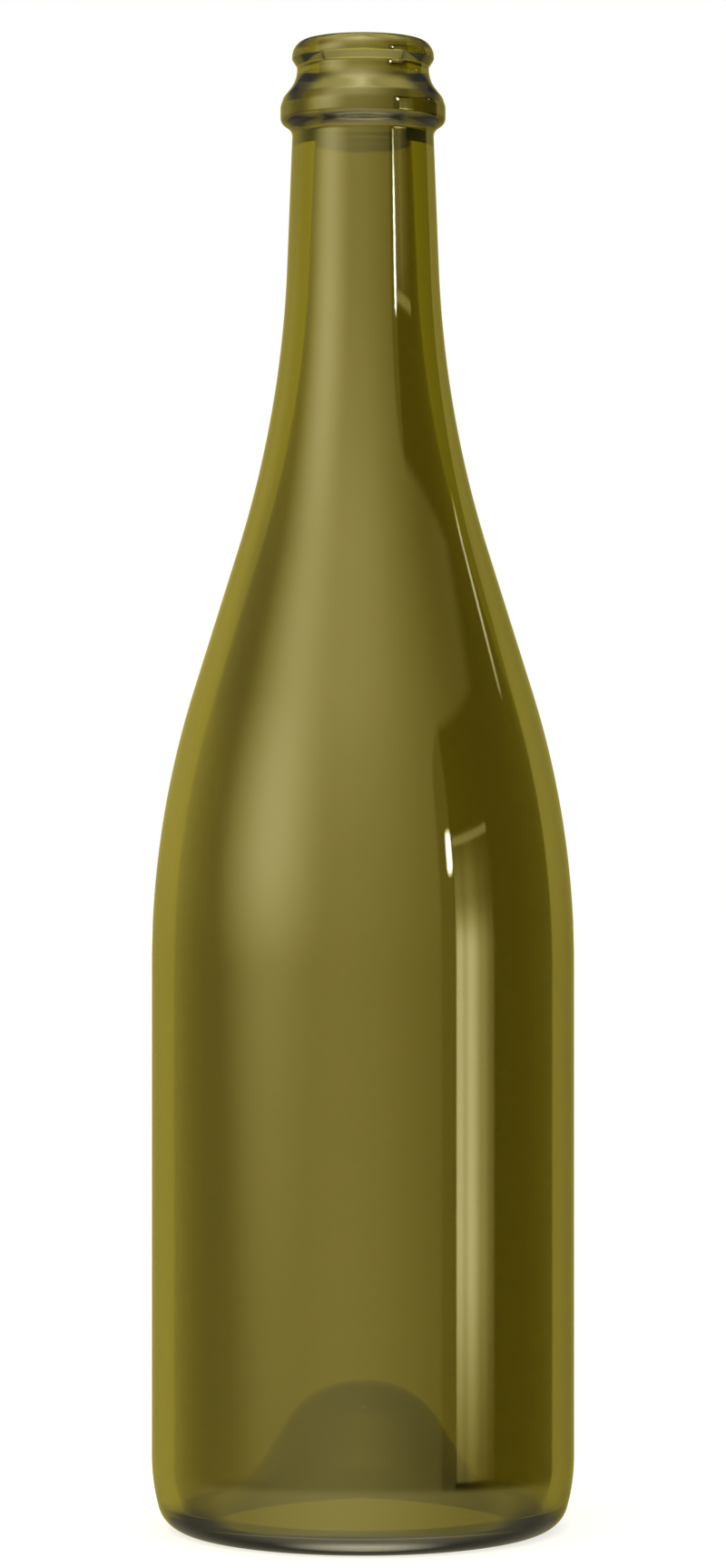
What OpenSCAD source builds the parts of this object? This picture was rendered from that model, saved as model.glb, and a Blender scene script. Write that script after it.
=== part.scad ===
// Empty sparkling-wine bottle of 75 cl in olive-green glass, with a crown-cap mouth and a deep punt.
// The real bottle is one piece of glass. Here one section outline is turned round the axis and cut by
// planes into the zones that a bottle maker names, and the zones lie face to face with no overlap.
// Z is the bottle's axis, Z = 0 is the table, and all sizes are in millimetres.

/* [Whole bottle] */
// Height from the table to the rim of the mouth
height = 299; // [290:0.5:320]
// Thickness of the glass in the side, the shoulder and the neck
wall = 4.4; // [3.4:0.1:5]

/* [Body and shoulder] */
// Outside diameter of the straight side
body_d = 85; // [80:0.5:90]
// Height at which the straight side ends and the shoulder starts to curve in
body_h = 113.2; // [100:0.1:120]
// Lean of the shoulder's straight stretch from the axis, in degrees
shoulder_angle = 17.45; // [16:0.05:19]
// Radius of the outward curve from the side into the shoulder
shoulder_radius = 183.6; // [150:0.2:200]
// Radius of the inward sweep from the shoulder up into the neck
sweep_radius = 218; // [150:1:230]

/* [Neck] */
// Outside diameter of the neck where it meets the collar
neck_d = 28.4; // [27:0.1:30]
// Widening of the neck on its way down, in degrees a side
neck_taper = 2.27; // [1.5:0.01:3]
// Length of the neck's zone, down to where it starts to sweep out
neck_h = 23; // [15:0.5:30]

/* [Collar] */
// Outside diameter of the collar that the wire cage hooks under
collar_d = 33.25; // [31:0.05:36]
// Diameter at which the flare above the collar bends into the collar's crown
collar_crown_d = 32.05; // [30:0.05:32.9]
// Distance from the rim down to the bend between the flare and the crown
collar_crown_depth = 11.5; // [10.5:0.1:12.5]
// Distance from the rim down to the top of the collar's band
collar_top_depth = 13.25; // [12.7:0.05:14.5]
// Distance from the rim down to the foot of the collar's band
collar_foot_depth = 16.45; // [15.7:0.05:17.2]
// Distance from the rim down to where the collar's underside meets the neck
collar_root_depth = 18.1; // [17.6:0.1:19]
// Rounding between the flare and the crown
collar_flare_round = 1.95; // [0.5:0.05:3]
// Rounding between the crown and the band
collar_top_round = 3; // [0.5:0.1:4]
// Rounding at the foot of the band
collar_foot_round = 1.8; // [0.5:0.1:3]
// Fillet between the collar's underside and the neck
collar_root_round = 2.3; // [0.5:0.1:3]

/* [Mouth] */
// Diameter of the bore that takes the stopper
bore_d = 17.7; // [16.5:0.1:18.5]
// Length of the bore from the rim down
bore_depth = 19.5; // [18:0.1:22]
// Height of the step from the bore out to the neck's inside
bore_step_h = 1.3; // [0.8:0.1:3]
// Rounding of the bore's inner edges
bore_round = 0.8; // [0.2:0.1:1.2]
// Outside diameter of the lip that the crown cap grips
lip_d = 28.55; // [27.8:0.05:29.5]
// Diameter of the lip's flat top, up to where it starts to fall
lip_top_d = 24.75; // [22:0.05:26]
// Distance from the rim down to the lip's widest line
lip_fall = 1.7; // [1:0.05:2.5]
// Distance from the rim down to the lip's lower edge
lip_depth = 3.75; // [3:0.05:4.5]
// Rounding of the edge of the lip's top
lip_top_round = 2.5; // [0.5:0.1:3]
// Rounding of the lip's side
lip_side_round = 3.4; // [0.5:0.1:4]
// Rounding of the lip's lower edge
lip_under_round = 0.5; // [0.2:0.05:1]
// Diameter of the groove under the lip
groove_d = 26.55; // [25.5:0.05:27.2]
// Distance from the rim down to the top of the groove
groove_top_depth = 5.3; // [4.9:0.05:6]
// Distance from the rim down to the foot of the groove, where the flare starts
groove_foot_depth = 8; // [7.3:0.05:9]
// Rounding at the top of the groove
groove_top_round = 1; // [0.3:0.1:2]
// Radius of the flare from the groove out to the collar
flare_radius = 6.7; // [2:0.1:8]

/* [Heel] */
// Lean of the heel from the axis, in degrees
heel_angle = 15.1; // [10:0.1:20]
// Height at which the heel's slope would meet the straight side
heel_rise = 9.64; // [8:0.02:12]
// Radius between the side and the heel's slope
heel_radius = 39; // [20:0.5:45]
// Radius between the heel's slope and the table
heel_corner_round = 6.2; // [3:0.1:7]
// Width of the base from the heel's corner to the edge of the hollow, before rounding
base_w = 7.4; // [6.6:0.1:9]
// Rounding between the base and the hollow
base_round = 5; // [2:0.1:6]

/* [Punt] */
// Height of the punt's top above the table, inside the bottle
punt_h = 29.5; // [22:0.1:35]
// Diameter at which the punt's flank would meet its flat top
punt_top_d = 20.7; // [16:0.1:28]
// Thickness of the glass at the punt's top
punt_top_t = 5.4; // [4:0.1:8]
// Thickness of the glass in the punt's flank
punt_wall = 4.4; // [3.5:0.1:5.5]
// Thickness of the glass in the punt's brim
brim_wall = 3.5; // [3:0.1:4]
// Slope of the punt's flank above the table, in degrees
punt_angle = 58; // [50:0.5:62]
// Slope of the punt's brim above the table, in degrees
brim_angle = 32; // [24:0.5:36]
// Rounding of the punt's top, inside the bottle
punt_top_round = 16; // [4:0.5:18]
// Rounding of the punt's top, under the bottle
punt_under_round = 5; // [0.5:0.1:7]
// Radius between the brim and the flank, inside the bottle
punt_foot_round = 15; // [5:0.5:20]
// Rounding of the channel between the punt and the heel
channel_round = 4.5; // [2:0.1:5.5]

/* [Hidden] */
glass = [0.42, 0.38, 0.13, 0.6];
// Greatest gap between a true arc and its chords
chord_gap = 0.01;
// Share of an edge that two roundings may use between them
edge_share = 0.99;
// Distance that a zone's plane keeps from the end of a curve
split_inset = 1;

body_r = body_d / 2;
bore_r = bore_d / 2;
groove_mid = height - (groove_top_depth + groove_foot_depth) / 2;
bore_foot = height - bore_depth;
step_foot = bore_foot - bore_step_h;

// Straight stretches of the outline: a point on each, and its direction
up = [0, 1];
across = [1, 0];
neck_root = [neck_d / 2, height - collar_root_depth];
neck_way = [-sin(neck_taper), cos(neck_taper)];
shoulder_corner = [body_r, body_h + shoulder_radius * tan(shoulder_angle / 2)];
shoulder_way = [-sin(shoulder_angle), cos(shoulder_angle)];
heel_corner = [body_r, heel_rise];
heel_way = [sin(heel_angle), cos(heel_angle)];
base_r = body_r - heel_rise * tan(heel_angle);
base_edge = [base_r - base_w, 0];
brim_way = [-cos(brim_angle), sin(brim_angle)];
flank_top = [punt_top_d / 2, punt_h];
flank_way = [-cos(punt_angle), sin(punt_angle)];

// The same stretches moved inwards by the glass
neck_in = neck_root - wall * square_to(neck_way);
shoulder_in = shoulder_corner - wall * square_to(shoulder_way);
heel_in = heel_corner - wall * square_to(heel_way);
side_in = [body_r - wall, 0];
brim_in = base_edge + brim_wall * square_to(brim_way);
flank_under = flank_top - punt_wall * square_to(flank_way);
punt_under = [0, punt_h - punt_top_t];

sweep_corner = meet(neck_root, neck_way, shoulder_corner, shoulder_way);
sweep_reach = sweep_radius * tan((shoulder_angle - neck_taper) / 2);

// Planes and the cylinder that part the zones
collar_plane = step_foot - split_inset;
neck_plane = collar_plane - neck_h;
shoulder_reach = shoulder_radius * tan(shoulder_angle / 2);
cone_top = sweep_corner[1] - sweep_reach * cos(shoulder_angle);
cone_foot = shoulder_corner[1] + shoulder_reach * cos(shoulder_angle);
sweep_plane = (cone_top + cone_foot) / 2;
shoulder_plane = body_h - split_inset;
heel_plane = heel_rise + heel_radius * tan(heel_angle / 2) + split_inset;
punt_edge = base_edge[0] + base_round * tan(brim_angle / 2);

// Corners of the glass section, each with its rounding: down the outside, under the base, up the inside
outline = [
    [bore_r, height, bore_round],
    [lip_top_d / 2, height, lip_top_round],
    [lip_d / 2, height - lip_fall, lip_side_round],
    [lip_d / 2, height - lip_depth, lip_under_round],
    [groove_d / 2, height - groove_top_depth, groove_top_round],
    [groove_d / 2, height - groove_foot_depth, flare_radius],
    [collar_crown_d / 2, height - collar_crown_depth, collar_flare_round],
    [collar_d / 2, height - collar_top_depth, collar_top_round],
    [collar_d / 2, height - collar_foot_depth, collar_foot_round],
    corner(neck_root, collar_root_round),
    corner(sweep_corner, sweep_radius),
    corner(shoulder_corner, shoulder_radius),
    corner(heel_corner, heel_radius),
    [base_r, 0, heel_corner_round],
    corner(base_edge, base_round),
    corner(meet(base_edge, brim_way, flank_under, flank_way), punt_foot_round + punt_wall),
    corner(meet(flank_under, flank_way, punt_under, across), punt_under_round),
    corner(punt_under, 0),
    [0, punt_h, 0],
    corner(flank_top, punt_top_round),
    corner(meet(brim_in, brim_way, flank_top, flank_way), punt_foot_round),
    corner(meet(brim_in, brim_way, heel_in, heel_way), channel_round),
    corner(meet(heel_in, heel_way, side_in, up), heel_radius - wall),
    corner(meet(side_in, up, shoulder_in, shoulder_way), shoulder_radius - wall),
    corner(meet(shoulder_in, shoulder_way, neck_in, neck_way), sweep_radius + wall),
    corner(meet(neck_in, neck_way, [0, step_foot], across), bore_round),
    [bore_r, bore_foot, bore_round]
];

// Direction square to another one, a quarter turn clockwise
function square_to(way) = [way[1], -way[0]];

function cross_of(a, b) = a[0] * b[1] - a[1] * b[0];

// Point where the line through p along u meets the line through q along v
function meet(p, u, q, v) = p + u * cross_of(q - p, v) / cross_of(u, v);

function corner(point, round) = [point[0], point[1], round];

// Corners are counted round the closed outline
function index(c, i) = (i + len(c)) % len(c);
function point(c, i) = [c[index(c, i)][0], c[index(c, i)][1]];
function edge(c, i) = point(c, i + 1) - point(c, i);
function turn(c, i) = atan2(cross_of(edge(c, i - 1), edge(c, i)), edge(c, i - 1) * edge(c, i));

// Length of edge that a corner's rounding asks for, and the share of it that the edge can give
function reach(c, i) = c[index(c, i)][2] * abs(tan(turn(c, i) / 2));
function share(c, i) = min(1, edge_share * norm(edge(c, i)) / max(chord_gap, reach(c, i) + reach(c, i + 1)));

// Points of the arc that rounds a corner
function arc(start, way, radius, angle) =
    let (
        side = angle > 0 ? 1 : -1,
        centre = start - side * radius * square_to(way),
        count = ceil(abs(angle) / (2 * acos(1 - min(1, chord_gap / radius)))),
        spoke = start - centre
    )
    [for (k = [0 : count])
        let (a = angle * k / count)
        centre + [spoke[0] * cos(a) - spoke[1] * sin(a), spoke[0] * sin(a) + spoke[1] * cos(a)]
    ];

function rounded_corner(c, i) =
    let (
        length = reach(c, i) * min(share(c, i - 1), share(c, i)),
        way = edge(c, i - 1) / norm(edge(c, i - 1)),
        angle = turn(c, i)
    )
    length < chord_gap
        ? [point(c, i)]
        : arc(point(c, i) - length * way, way, length / abs(tan(angle / 2)), angle);

function rounded(c) = [for (i = [0 : len(c) - 1]) each rounded_corner(c, i)];

// Ring or disc of the glass between two heights and two radii
module zone(low, high, from_r = 0, to_r = body_d) {
    color(glass)
        rotate_extrude($fn = 96)
            intersection() {
                polygon(rounded(outline));
                translate([from_r, low])
                    square([to_r - from_r, high - low]);
            }
}

// Rounded lip round the mouth, which the crown cap grips
module crown_lip() {
    zone(groove_mid, height + split_inset);
}

// Flare and collar under the lip, with the rest of the bore
module wire_collar() {
    zone(collar_plane, groove_mid);
}

// Straight, slightly widening neck
module neck() {
    zone(neck_plane, collar_plane);
}

// Inward sweep between the neck and the shoulder
module neck_sweep() {
    zone(sweep_plane, neck_plane);
}

// Outward curve between the sweep and the straight side
module shoulder() {
    zone(shoulder_plane, sweep_plane);
}

// Straight side
module body() {
    zone(heel_plane, shoulder_plane, punt_edge);
}

// Rounded heel with the ring that the bottle stands on
module heel() {
    zone(0, heel_plane, punt_edge);
}

// Dome pushed up in the base
module punt() {
    zone(0, punt_h + split_inset, 0, punt_edge);
}

crown_lip();
wire_collar();
neck();
neck_sweep();
shoulder();
body();
heel();
punt();
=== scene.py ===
import functools
import math

import bmesh
import bpy
import numpy as np
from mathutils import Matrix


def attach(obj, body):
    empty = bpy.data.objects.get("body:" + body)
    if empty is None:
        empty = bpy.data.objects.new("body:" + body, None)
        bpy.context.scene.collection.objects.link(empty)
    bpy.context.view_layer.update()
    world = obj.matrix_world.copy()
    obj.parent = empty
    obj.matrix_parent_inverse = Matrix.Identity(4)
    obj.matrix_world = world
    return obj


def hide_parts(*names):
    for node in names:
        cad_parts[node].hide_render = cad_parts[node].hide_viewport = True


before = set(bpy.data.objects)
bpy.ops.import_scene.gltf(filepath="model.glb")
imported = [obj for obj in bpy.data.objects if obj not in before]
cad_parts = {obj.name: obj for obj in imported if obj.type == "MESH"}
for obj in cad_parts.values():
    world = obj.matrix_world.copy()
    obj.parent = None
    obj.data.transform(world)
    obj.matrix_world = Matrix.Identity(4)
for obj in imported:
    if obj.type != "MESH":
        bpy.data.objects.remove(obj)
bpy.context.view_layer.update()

mm = 0.001
scene = bpy.context.scene
scene.view_settings.view_transform = "Standard"

# The glass
# A champagne bottle is blown and pressed from one gather of olive-green soda-lime glass, so body, neck,
# collar, lip and punt are one piece. Its section is drawn once, as corners with roundings, and turned
# round the axis by Geometry Nodes.
height = 299 * mm
wall = 4.4 * mm
body_r = 42.5 * mm
body_h = 113.2 * mm
shoulder_lean = math.radians(17.45)
shoulder_round = 183.6 * mm
sweep_round = 218 * mm
neck_r = 14.2 * mm
neck_lean = math.radians(2.27)
collar_r = 16.625 * mm
collar_crown_r = 16.025 * mm
collar_crown_depth = 11.5 * mm
collar_top_depth = 13.25 * mm
collar_foot_depth = 16.45 * mm
collar_root_depth = 18.1 * mm
collar_flare_round = 1.95 * mm
collar_top_round = 3 * mm
collar_foot_round = 1.8 * mm
collar_root_round = 2.3 * mm
bore_r = 8.85 * mm
bore_depth = 19.5 * mm
bore_step_h = 1.3 * mm
bore_round = 0.8 * mm
lip_r = 14.275 * mm
lip_top_r = 12.375 * mm
lip_fall = 1.7 * mm
lip_depth = 3.75 * mm
lip_top_round = 2.5 * mm
lip_side_round = 3.4 * mm
lip_under_round = 0.5 * mm
groove_r = 13.275 * mm
groove_top_depth = 5.3 * mm
groove_foot_depth = 8 * mm
groove_top_round = 1 * mm
flare_round = 6.7 * mm
heel_lean = math.radians(15.1)
heel_rise = 9.64 * mm
heel_round = 39 * mm
heel_corner_round = 6.2 * mm
base_w = 7.4 * mm
base_round = 5 * mm
punt_h = 29.5 * mm
punt_top_r = 10.35 * mm
punt_top_t = 5.4 * mm
punt_wall = 4.4 * mm
brim_wall = 3.5 * mm
flank_lean = math.radians(58)
brim_lean = math.radians(32)
punt_top_round = 16 * mm
punt_under_round = 5 * mm
punt_foot_round = 15 * mm
channel_round = 4.5 * mm


def across(way):
    """The direction a quarter turn clockwise from another one."""
    return np.array((way[1], -way[0]))


def cross_of(a, b):
    """The cross product of two directions, more than 0 where b lies to the left of a."""
    return a[0] * b[1] - a[1] * b[0]


def meet(p, u, q, v):
    """Where the line through p along u meets the line through q along v."""
    return p + u * cross_of(q - p, v) / cross_of(u, v)


up = np.array((0.0, 1.0))
level = np.array((1.0, 0.0))
neck_root = np.array((neck_r, height - collar_root_depth))
neck_way = np.array((-math.sin(neck_lean), math.cos(neck_lean)))
shoulder_corner = np.array((body_r, body_h + shoulder_round * math.tan(shoulder_lean / 2)))
shoulder_way = np.array((-math.sin(shoulder_lean), math.cos(shoulder_lean)))
heel_corner = np.array((body_r, heel_rise))
heel_way = np.array((math.sin(heel_lean), math.cos(heel_lean)))
base_r = body_r - heel_rise * math.tan(heel_lean)
base_edge = np.array((base_r - base_w, 0.0))
brim_way = np.array((-math.cos(brim_lean), math.sin(brim_lean)))
flank_top = np.array((punt_top_r, punt_h))
flank_way = np.array((-math.cos(flank_lean), math.sin(flank_lean)))
neck_in = neck_root - wall * across(neck_way)
shoulder_in = shoulder_corner - wall * across(shoulder_way)
heel_in = heel_corner - wall * across(heel_way)
side_in = np.array((body_r - wall, 0.0))
brim_in = base_edge + brim_wall * across(brim_way)
flank_under = flank_top - punt_wall * across(flank_way)
punt_under = np.array((0.0, punt_h - punt_top_t))
bore_foot = height - bore_depth
step_foot = np.array((0.0, bore_foot - bore_step_h))

# Corners of the section, each a point and its rounding, from the punt's inside up to the mouth and down
# the outside to the punt's underside
corners = [
    ((0, punt_h), 0),
    (flank_top, punt_top_round),
    (meet(brim_in, brim_way, flank_top, flank_way), punt_foot_round),
    (meet(brim_in, brim_way, heel_in, heel_way), channel_round),
    (meet(heel_in, heel_way, side_in, up), heel_round - wall),
    (meet(side_in, up, shoulder_in, shoulder_way), shoulder_round - wall),
    (meet(shoulder_in, shoulder_way, neck_in, neck_way), sweep_round + wall),
    (meet(neck_in, neck_way, step_foot, level), bore_round),
    ((bore_r, bore_foot), bore_round),
    ((bore_r, height), bore_round),
    ((lip_top_r, height), lip_top_round),
    ((lip_r, height - lip_fall), lip_side_round),
    ((lip_r, height - lip_depth), lip_under_round),
    ((groove_r, height - groove_top_depth), groove_top_round),
    ((groove_r, height - groove_foot_depth), flare_round),
    ((collar_crown_r, height - collar_crown_depth), collar_flare_round),
    ((collar_r, height - collar_top_depth), collar_top_round),
    ((collar_r, height - collar_foot_depth), collar_foot_round),
    (neck_root, collar_root_round),
    (meet(neck_root, neck_way, shoulder_corner, shoulder_way), sweep_round),
    (shoulder_corner, shoulder_round),
    (heel_corner, heel_round),
    ((base_r, 0), heel_corner_round),
    (base_edge, base_round),
    (meet(base_edge, brim_way, flank_under, flank_way), punt_foot_round + punt_wall),
    (meet(flank_under, flank_way, punt_under, level), punt_under_round),
    (punt_under, 0),
]


def rounded(corners, gap, share):
    """Points of the outline, with each corner turned into an arc whose chords miss it by less than gap.

    Two roundings on one edge use at most the given share of it between them."""
    points = [np.array(point, dtype=float) for point, radius in corners]
    last = len(points) - 1
    reach = [0.0] * (last + 1)
    turn = [0.0] * (last + 1)
    for i in range(1, last):
        before = points[i] - points[i - 1]
        after = points[i + 1] - points[i]
        turn[i] = math.atan2(cross_of(before, after), float(before @ after))
        reach[i] = corners[i][1] * abs(math.tan(turn[i] / 2))
    outline = [points[0]]
    for i in range(1, last):
        fits = [1.0]
        for j in (i - 1, i):
            edge = float(np.linalg.norm(points[j + 1] - points[j]))
            fits.append(share * edge / max(gap, reach[j] + reach[j + 1]))
        length = reach[i] * min(fits)
        radius = length / abs(math.tan(turn[i] / 2))
        way = (points[i] - points[i - 1]) / np.linalg.norm(points[i] - points[i - 1])
        start = points[i] - length * way
        centre = start - math.copysign(radius, turn[i]) * across(way)
        spoke = start - centre
        steps = math.ceil(abs(turn[i]) / (2 * math.acos(1 - min(1, gap / radius))))
        for k in range(steps + 1):
            a = turn[i] * k / steps
            c, s = math.cos(a), math.sin(a)
            outline.append(centre + np.array((spoke[0] * c - spoke[1] * s, spoke[0] * s + spoke[1] * c)))
    outline.append(points[last])
    return outline


chord_gap = 0.003 * mm
edge_share = 0.99
outline = rounded(corners, chord_gap, edge_share)
section = bpy.data.meshes.new("glass_section")
section.from_pydata([(r, 0, z) for r, z in outline], [(i, i + 1) for i in range(len(outline) - 1)], [])
glass = bpy.data.objects.new("glass_bottle", section)
scene.collection.objects.link(glass)

# Olive-green glass
# The colour is in the whole thickness of the glass, so it deepens where the glass is thick. The gather
# leaves faint cords of uneven colour drawn out along the bottle, the mould a slight waviness. The lowest
# few millimetres of the base, outside the bearing ring, are darkened grey with painted shade, unevenly
# broken by noise, for the shade where the bottle stands on the table.
cord_dark = (0.437, 0.380, 0.094, 1)
cord_light = (0.461, 0.406, 0.106, 1)
cord_squash = 0.2
# Painted shade: the grey that darkens the base's lowest edge, outside the bearing ring, where it stands on
# the table
base_painted_shade = (0.20, 0.175, 0.08, 1)
base_shade_top = 5.6 * mm
base_shade_fade_h = 1.4 * mm
base_shade_inner_r = 33 * mm
base_shade_fade_w = 1.5 * mm
wave_depth = 0.04 * mm
# How fast the glass takes out red, green and blue light, per metre. A black colour would take out each of
# them at the rate of the density.
taken_out = (115, 123, 400)
density = 500


def put(tree, kind, inputs=None, **settings):
    """A node of a tree with its settings, each input fed by a socket or set to a value."""
    node = tree.nodes.new(kind)
    for name, value in settings.items():
        setattr(node, name, value)
    for name, value in (inputs or {}).items():
        if isinstance(value, bpy.types.NodeSocket):
            tree.links.new(value, node.inputs[name])
        else:
            node.inputs[name].default_value = value
    return node


def calc(tree, operation, *values):
    """The result of a Math node, fed by sockets or numbers."""
    return put(tree, "ShaderNodeMath", dict(enumerate(values)), operation=operation).outputs[0]


def ease(tree, value, low, high, at_low, at_high):
    """A smooth change of level, from at_low to at_high, while the value goes from low to high."""
    inputs = {"Value": value, "From Min": low, "From Max": high, "To Min": at_low, "To Max": at_high}
    return put(tree, "ShaderNodeMapRange", inputs, interpolation_type="SMOOTHSTEP").outputs["Result"]


def mix_colour(tree, amount, below, above):
    """One colour or another by an amount."""
    inputs = {"Factor": amount, "A": below, "B": above}
    return put(tree, "ShaderNodeMix", inputs, data_type="RGBA").outputs["Result"]


def out_from_axis(tree, place):
    """How far a place is from the bottle's axis."""
    flat = put(tree, "ShaderNodeVectorMath", {0: place, 1: (1, 1, 0)}, operation="MULTIPLY")
    return put(tree, "ShaderNodeVectorMath", {0: flat.outputs[0]}, operation="LENGTH").outputs["Value"]


olive = bpy.data.materials.new("olive_glass")
olive.use_nodes = True
tree = olive.node_tree
tree.nodes.clear()
place = put(tree, "ShaderNodeTexCoord").outputs["Object"]
drawn_out = put(tree, "ShaderNodeMapping", {"Vector": place, "Scale": (1, 1, cord_squash)}).outputs["Vector"]
cords = put(tree, "ShaderNodeTexNoise", {"Vector": drawn_out, "Scale": 45, "Detail": 3}).outputs["Fac"]
tint = mix_colour(tree, cords, cord_dark, cord_light)

place_height = put(tree, "ShaderNodeSeparateXYZ", {0: place}).outputs["Z"]
# The painted shade on the base: the lowest few millimetres, outside the bearing ring, broken up unevenly by
# noise
low = ease(tree, place_height, base_shade_top - base_shade_fade_h, base_shade_top, 1, 0)
outside = ease(tree, out_from_axis(tree, place), base_shade_inner_r, base_shade_inner_r + base_shade_fade_w, 0, 1)
base_shade_noise = put(tree, "ShaderNodeTexNoise", {"Vector": place, "Scale": 160}).outputs["Fac"]
base_shade_noise_range = {"Value": base_shade_noise, "From Min": 0.35, "From Max": 0.65, "To Min": 0.75, "To Max": 1}
base_shade_strength = put(tree, "ShaderNodeMapRange", base_shade_noise_range).outputs["Result"]
base_shade_share = calc(tree, "MULTIPLY", calc(tree, "MULTIPLY", low, outside), base_shade_strength)

waves = put(tree, "ShaderNodeTexNoise", {"Vector": drawn_out, "Scale": 28, "Detail": 1}).outputs["Fac"]
bump = put(tree, "ShaderNodeBump", {"Height": waves, "Strength": 1, "Distance": wave_depth})
surface = put(tree, "ShaderNodeBsdfPrincipled", {
    "Base Color": mix_colour(tree, base_shade_share, tint, base_painted_shade),
    "Transmission Weight": 1.0,
    "IOR": 1.5,
    "Roughness": 0.0,
    "Normal": bump.outputs["Normal"],
})
colour_left = [1 - rate / density for rate in taken_out] + [1]
depth = put(tree, "ShaderNodeVolumeAbsorption", {"Color": colour_left, "Density": density})
put(tree, "ShaderNodeOutputMaterial", {
    "Surface": surface.outputs["BSDF"],
    "Volume": depth.outputs["Volume"],
})

# The turning of the section
# A round bottle has the same section at every turn, as its mould was turned. Geometry Nodes lay a grid of
# section points by turns, bend it into rings and weld the last ring to the first.
sides = 240
weld_distance = 0.001 * mm
lathe = bpy.data.node_groups.new("turn_section", "GeometryNodeTree")
lathe.interface.new_socket("Section", in_out="INPUT", socket_type="NodeSocketGeometry")
sides_socket = lathe.interface.new_socket("Sides", in_out="INPUT", socket_type="NodeSocketInt")
weld_socket = lathe.interface.new_socket("Weld distance", in_out="INPUT", socket_type="NodeSocketFloat")
glass_socket = lathe.interface.new_socket("Glass", in_out="INPUT", socket_type="NodeSocketMaterial")
lathe.interface.new_socket("Bottle", in_out="OUTPUT", socket_type="NodeSocketGeometry")
given = put(lathe, "NodeGroupInput").outputs

count = put(lathe, "GeometryNodeAttributeDomainSize", {"Geometry": given["Section"]}, component="MESH")
stations = calc(lathe, "ADD", given["Sides"], 1)
grid_size = {"Vertices X": count.outputs["Point Count"], "Vertices Y": stations}
grid = put(lathe, "GeometryNodeMeshGrid", grid_size).outputs["Mesh"]
index = put(lathe, "GeometryNodeInputIndex").outputs[0]
ring = calc(lathe, "FLOOR", calc(lathe, "DIVIDE", calc(lathe, "ADD", index, 0.5), stations))
station = calc(lathe, "SUBTRACT", index, calc(lathe, "MULTIPLY", ring, stations))
angle = calc(lathe, "MULTIPLY", calc(lathe, "DIVIDE", station, given["Sides"]), 2 * math.pi)
section_place = put(lathe, "GeometryNodeInputPosition").outputs[0]
sampled = {"Geometry": given["Section"], "Value": section_place, "Index": ring}
sample = put(lathe, "GeometryNodeSampleIndex", sampled, data_type="FLOAT_VECTOR", domain="POINT")
section_point = put(lathe, "ShaderNodeSeparateXYZ", {0: sample.outputs["Value"]}).outputs
bent = put(lathe, "ShaderNodeCombineXYZ", {
    "X": calc(lathe, "MULTIPLY", section_point["X"], calc(lathe, "COSINE", angle)),
    "Y": calc(lathe, "MULTIPLY", section_point["X"], calc(lathe, "SINE", angle)),
    "Z": section_point["Z"],
}).outputs[0]
rings = put(lathe, "GeometryNodeSetPosition", {"Geometry": grid, "Position": bent}).outputs["Geometry"]
weld = put(lathe, "GeometryNodeMergeByDistance", {"Geometry": rings, "Distance": given["Weld distance"]})
smooth = put(lathe, "GeometryNodeSetShadeSmooth", {"Geometry": weld.outputs["Geometry"]})
real = put(lathe, "GeometryNodeRealizeInstances", {"Geometry": smooth.outputs["Geometry"]})
finish = {"Geometry": real.outputs["Geometry"], "Material": given["Glass"]}
finished = put(lathe, "GeometryNodeSetMaterial", finish).outputs["Geometry"]
put(lathe, "NodeGroupOutput", {"Bottle": finished})

turned = glass.modifiers.new("turned", "NODES")
turned.node_group = lathe
turned[sides_socket.identifier] = sides
turned[weld_socket.identifier] = weld_distance
turned[glass_socket.identifier] = olive
bpy.context.view_layer.update()
ready = glass.evaluated_get(bpy.context.evaluated_depsgraph_get())
bottle_mesh = bpy.data.meshes.new_from_object(ready)
glass.modifiers.remove(turned)
glass.data = bottle_mesh
bottle_mesh.name = "glass_bottle"

# The normals are made to point out of the glass
shape = bmesh.new()
shape.from_mesh(bottle_mesh)
if shape.calc_volume(signed=True) < 0:
    bmesh.ops.reverse_faces(shape, faces=shape.faces)
shape.to_mesh(bottle_mesh)
shape.free()

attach(glass, "root")
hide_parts("crown_lip", "wire_collar", "neck", "neck_sweep", "shoulder", "body", "heel", "punt")

# The camera
# It stands level with the middle of the bottle and straight in front. Its focal length and the height of
# the picture are given in pixels of the photograph.
camera_away = 945.2 * mm
focal_pixels = 5172
picture_pixels = 1727
sensor_h = 36
camera_data = bpy.data.cameras.new("camera")
camera = bpy.data.objects.new("camera", camera_data)
scene.collection.objects.link(camera)
camera.location = (0, -camera_away, height / 2)
camera.rotation_euler = (math.radians(90), 0, 0)
camera_data.sensor_fit = "VERTICAL"
camera_data.sensor_height = sensor_h
camera_data.lens = sensor_h * focal_pixels / picture_pixels
scene.camera = camera

# The table
# A plain white sheet with a faint tooth. It keeps the bottle's soft shadow. Seen through the glass it runs
# on into the backdrop, but for a painted contact shadow: a dark ring where the bottle stands on it.
table_half = 4000 * mm
paper_dark = (0.34, 0.34, 0.34, 1)
paper_light = (0.38, 0.38, 0.38, 1)
paper_glow = 0.72
# Painted contact shadow: a dark ring round the bearing ring, seen only through the glass
bearing_r = 35.5 * mm
contact_shadow_half_w = 4.5 * mm
contact_shadow_fade_w = 2.5 * mm
contact_shadow_level = 0.04
table_mesh = bpy.data.meshes.new("table")
table_corners = [(-table_half, -table_half, 0), (table_half, -table_half, 0),
                 (table_half, table_half, 0), (-table_half, table_half, 0)]
table_mesh.from_pydata(table_corners, [], [(0, 1, 2, 3)])
table = bpy.data.objects.new("table", table_mesh)
scene.collection.objects.link(table)


def choose(tree, amount, below, above):
    """One shader or another by an amount."""
    return put(tree, "ShaderNodeMixShader", {"Fac": amount, 1: below, 2: above}).outputs[0]


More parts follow.
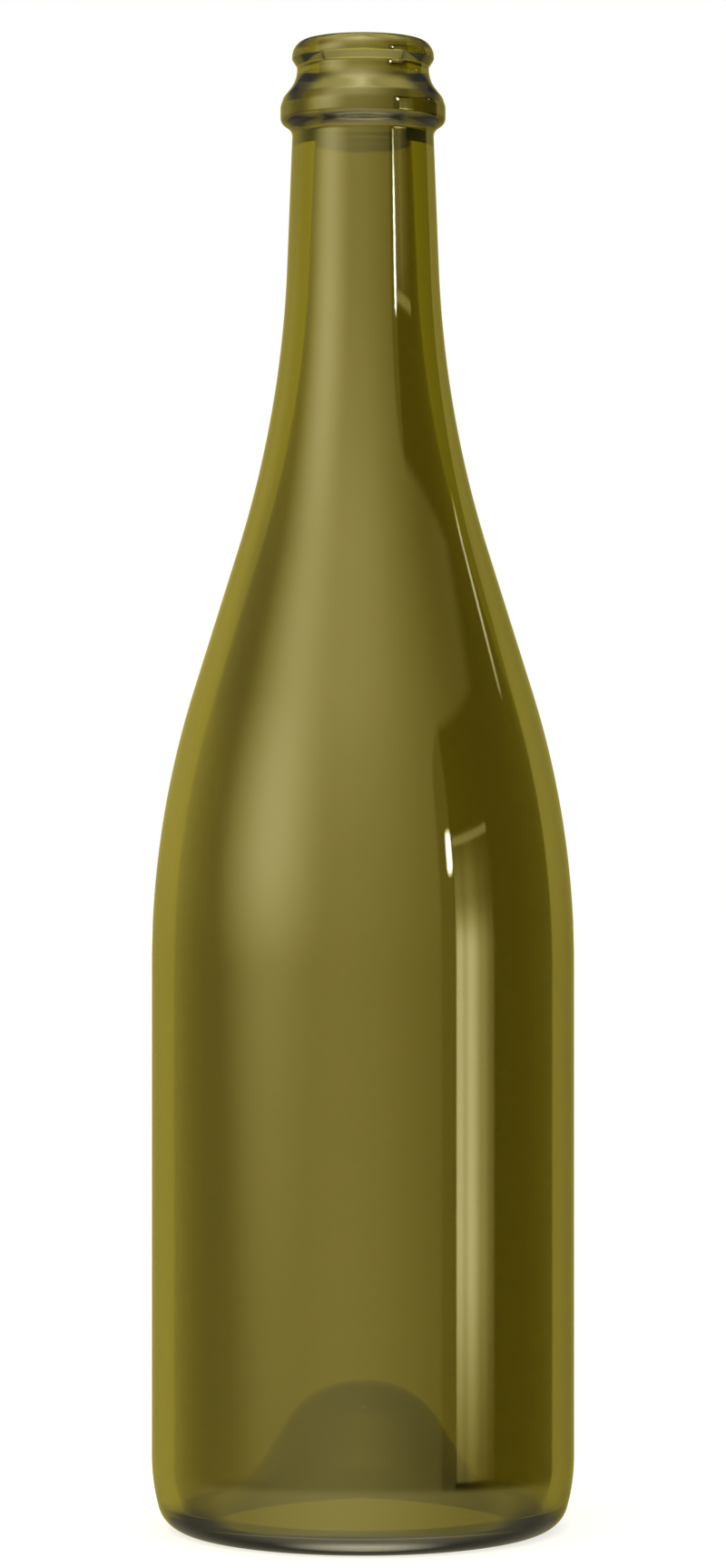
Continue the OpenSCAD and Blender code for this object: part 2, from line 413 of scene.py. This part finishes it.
sheet = bpy.data.materials.new("white_sheet")
sheet.use_nodes = True
tree = sheet.node_tree
tree.nodes.clear()
place = put(tree, "ShaderNodeTexCoord").outputs["Object"]
tooth = put(tree, "ShaderNodeTexNoise", {"Vector": place, "Scale": 900}).outputs["Fac"]
paper_white = mix_colour(tree, tooth, paper_dark, paper_light)
paper = put(tree, "ShaderNodeBsdfDiffuse", {"Color": paper_white}).outputs[0]
glow = put(tree, "ShaderNodeEmission", {"Strength": paper_glow}).outputs[0]
straight = put(tree, "ShaderNodeAddShader", {0: paper, 1: glow}).outputs[0]
from_axis = out_from_axis(tree, place)
# The painted contact shadow: under the bottle the sheet's glow drops to a dark ring round where it stands
off_ring = calc(tree, "ABSOLUTE", calc(tree, "SUBTRACT", from_axis, bearing_r))
painted_contact_shadow = ease(tree, off_ring, contact_shadow_half_w, contact_shadow_half_w + contact_shadow_fade_w, contact_shadow_level, 1)
under = put(tree, "ShaderNodeEmission", {"Strength": painted_contact_shadow}).outputs[0]
clear = put(tree, "ShaderNodeBsdfTransparent").outputs[0]
behind = choose(tree, calc(tree, "GREATER_THAN", from_axis, body_r), under, clear)
through_glass = put(tree, "ShaderNodeLightPath").outputs["Is Transmission Ray"]
put(tree, "ShaderNodeOutputMaterial", {"Surface": choose(tree, through_glass, straight, behind)})
table_mesh.materials.append(sheet)
table.visible_glossy = False

# The studio
# The backdrop is white, seen straight and through the glass, and ends beside, above and below the bottle.
# What the glass mirrors is the studio behind the camera: a large soft light in front with a brighter one on
# its left, one overhead, and a dark flag on the right with a strip light in it and two small lamps.
world = bpy.data.worlds.new("studio")
scene.world = world
world.use_nodes = True
tree = world.node_tree
tree.nodes.clear()


def plus(*levels):
    """Levels of light added up."""
    return functools.reduce(lambda a, b: calc(tree, "ADD", a, b), levels)


def times(*levels):
    """A level of light times the shares of it that are left."""
    return functools.reduce(lambda a, b: calc(tree, "MULTIPLY", a, b), levels)


def blend(amount, below, above):
    """From one level to another by an amount."""
    return plus(below, times(amount, calc(tree, "SUBTRACT", above, below)))


# Degrees round the bottle, 0 behind it, 90 on its right and 180 in front, and degrees above the level
degree = 180 / math.pi
direction = put(tree, "ShaderNodeTexCoord").outputs["Generated"]
along = put(tree, "ShaderNodeSeparateXYZ", {0: direction}).outputs
turn = times(calc(tree, "ARCTAN2", along["X"], along["Y"]), degree)
rise = times(calc(tree, "ARCSINE", along["Z"]), degree)
to_side = calc(tree, "ABSOLUTE", turn)
from_level = calc(tree, "ABSOLUTE", rise)


def away(centre):
    """Degrees round from a centre, counted up to 180 to both sides."""
    wrapped = calc(tree, "WRAP", calc(tree, "SUBTRACT", turn, centre), 180, -180)
    return calc(tree, "ABSOLUTE", wrapped)


def soft_glow(centre_turn, centre_rise, reach_turn, reach_rise):
    """1 at the centre, fading smoothly to 0 at an oval edge."""
    a = calc(tree, "DIVIDE", away(centre_turn), reach_turn)
    b = calc(tree, "DIVIDE", calc(tree, "SUBTRACT", rise, centre_rise), reach_rise)
    far = calc(tree, "SQRT", plus(times(a, a), times(b, b)))
    return ease(tree, far, 0, 1, 1, 0)


def panel(left, right, foot, top, corner, edge):
    """1 inside a panel with rounded corners, 0 outside it."""
    a = calc(tree, "SUBTRACT", away((left + right) / 2), (right - left) / 2 - corner)
    b = calc(tree, "ABSOLUTE", calc(tree, "SUBTRACT", rise, (foot + top) / 2))
    b = calc(tree, "SUBTRACT", b, (top - foot) / 2 - corner)
    a_out = calc(tree, "MAXIMUM", a, 0)
    b_out = calc(tree, "MAXIMUM", b, 0)
    far = calc(tree, "SQRT", plus(times(a_out, a_out), times(b_out, b_out)))
    far = plus(far, calc(tree, "MINIMUM", calc(tree, "MAXIMUM", a, b), 0))
    return ease(tree, far, corner - edge / 2, corner + edge / 2, 1, 0)


# The soft lights. The left one reaches further up than down from its centre.
front_turn = -165
front_level = 2.15
left_turn = -125
left_rise = 13
left_level = 4.8
overhead_level = 3.3
low_level = 1.3
front = times(ease(tree, away(front_turn), 0, 90, front_level, 0), ease(tree, rise, 0, 60, 1, 2.16))
left_reach = ease(tree, rise, left_rise - 0.1, left_rise + 0.1, 26, 50)
left_light = times(soft_glow(left_turn, left_rise, 39, left_reach), left_level)
overhead = ease(tree, rise, 38, 72, 0, overhead_level)
low_front = times(ease(tree, to_side, 60, 100, 0, low_level), ease(tree, rise, -16, -10, 1, 0))
side_room = plus(ease(tree, to_side, 25, 60, 0.5, 1.1), ease(tree, away(-40), 0, 55, 0.3, 0))
room = times(side_room, ease(tree, rise, -4, 6, 0.8, 1))
studio = plus(front, left_light, overhead, low_front, room)

# The dark flag, with a paler margin on the side of the camera
flag_left = 55
flag_right = 137
flag_foot = -60
flag_top = 27.5
margin_turn = 129
flag_dark = 0.25
margin_dark = 0.95
flag = panel(flag_left, flag_right, flag_foot, flag_top, corner=9, edge=2.5)
flag = times(flag, ease(tree, rise, -15, -11, 0, 1))
flag_level = ease(tree, turn, margin_turn - 0.6, margin_turn + 0.6, flag_dark, margin_dark)
studio = blend(flag, studio, flag_level)

# The strip light brightens in three steps towards the margin, has a thin seam, fades at its top and foot
# and ends in a thin bright line
seam_turn = 123.2
line_rise = 13.3
line_level = 2.4
strip = plus(ease(tree, turn, 103.5, 106.5, 0, 1.6), ease(tree, turn, 106.5, 112.5, 0, 2.3),
             ease(tree, turn, 112.5, 119.5, 0, 4.9))
seam = ease(tree, away(seam_turn), 0.8, 2.2, 0.82, 1)
strip_edge = ease(tree, turn, 127.8, 129.2, 1, 0)
strip_foot = ease(tree, rise, -10.5, -5.5, 0, 1)
strip_fade = times(ease(tree, rise, 0, 7, 1, 0.28), ease(tree, rise, 7, 14, 1, 0.25))
strip_top = ease(tree, rise, 13.8, 14.6, 1, 0)
strip = times(strip, seam, strip_edge, strip_foot, strip_fade, strip_top)
strip_line = panel(105, 128, line_rise - 0.5, line_rise + 0.5, corner=0.4, edge=0.6)
strip_line = times(strip_line, line_level)

# The two small lamps, one beside the strip's top and one far round to the right
near_level = 27
far_level = 9
lamp_near = times(panel(left=128.9, right=132.4, foot=9.6, top=14.8, corner=1.2, edge=1.2), near_level)
lamp_far = times(soft_glow(68.5, 22, reach_turn=2.4, reach_rise=2.4), far_level)
studio = plus(studio, strip, strip_line, lamp_near, lamp_far)

# The lit parts of the studio are warm and the lamps nearly white. The room beside and behind the bottle is
# grey, and so is the table, mirrored low in the heel and brightest in front.
blue = times(studio, calc(tree, "MULTIPLY_ADD", studio, 0.027, 0.17))
green = times(studio, calc(tree, "MULTIPLY_ADD", studio, 0.006, 0.845))
grey = times(ease(tree, to_side, 55, 100, 1, 0), ease(tree, from_level, 15, 26, 0, 1),
             ease(tree, rise, 42, 60, 1, 0))
table_front = 1.6
table_behind = 0.22
table_below = 3
table_light = plus(ease(tree, away(180), 20, 130, table_front, table_behind),
                   ease(tree, rise, -85, -62, table_below, 0))
above_table = calc(tree, "SUBTRACT", rise, ease(tree, to_side, 60, 120, -16, -36))
table_share = ease(tree, above_table, -8, 0, 1, 0)
mirrored_light = {}
for name, lit, tone in (("Red", studio, 1.6), ("Green", green, 1.5), ("Blue", blue, 1.0)):
    mirrored_light[name] = blend(table_share, blend(grey, lit, blue), times(table_light, tone))
mirrored_colour = put(tree, "ShaderNodeCombineColor", mirrored_light).outputs[0]
mirrored = put(tree, "ShaderNodeBackground", {"Color": mirrored_colour}).outputs[0]


def backdrop(strength):
    """A plain white surround, its strength a number or a socket."""
    return put(tree, "ShaderNodeBackground", {"Color": (1, 1, 1, 1), "Strength": strength}).outputs[0]


# Through the glass the backdrop is white as far as it reaches, with brighter wings to either side of the
# bottle, and the floor, ceiling and room are dim
left_wing = 1.35
right_wing = 1.08
room_side = 0.1
room_front = 0.8
wings = ease(tree, to_side, 8, 20, 1, ease(tree, turn, -8, 8, left_wing, right_wing))
reach = times(ease(tree, to_side, 60, 90, 1, 0), ease(tree, from_level, 20, 30, 1, 0))
through = blend(reach, ease(tree, to_side, 95, 125, room_side, room_front), wings)
rays = put(tree, "ShaderNodeLightPath").outputs
light = choose(tree, rays["Is Camera Ray"], mirrored, backdrop(1))
light = choose(tree, rays["Is Transmission Ray"], light, backdrop(through))
light = choose(tree, rays["Is Diffuse Ray"], light, backdrop(0.9))
put(tree, "ShaderNodeOutputWorld", {"Surface": light})
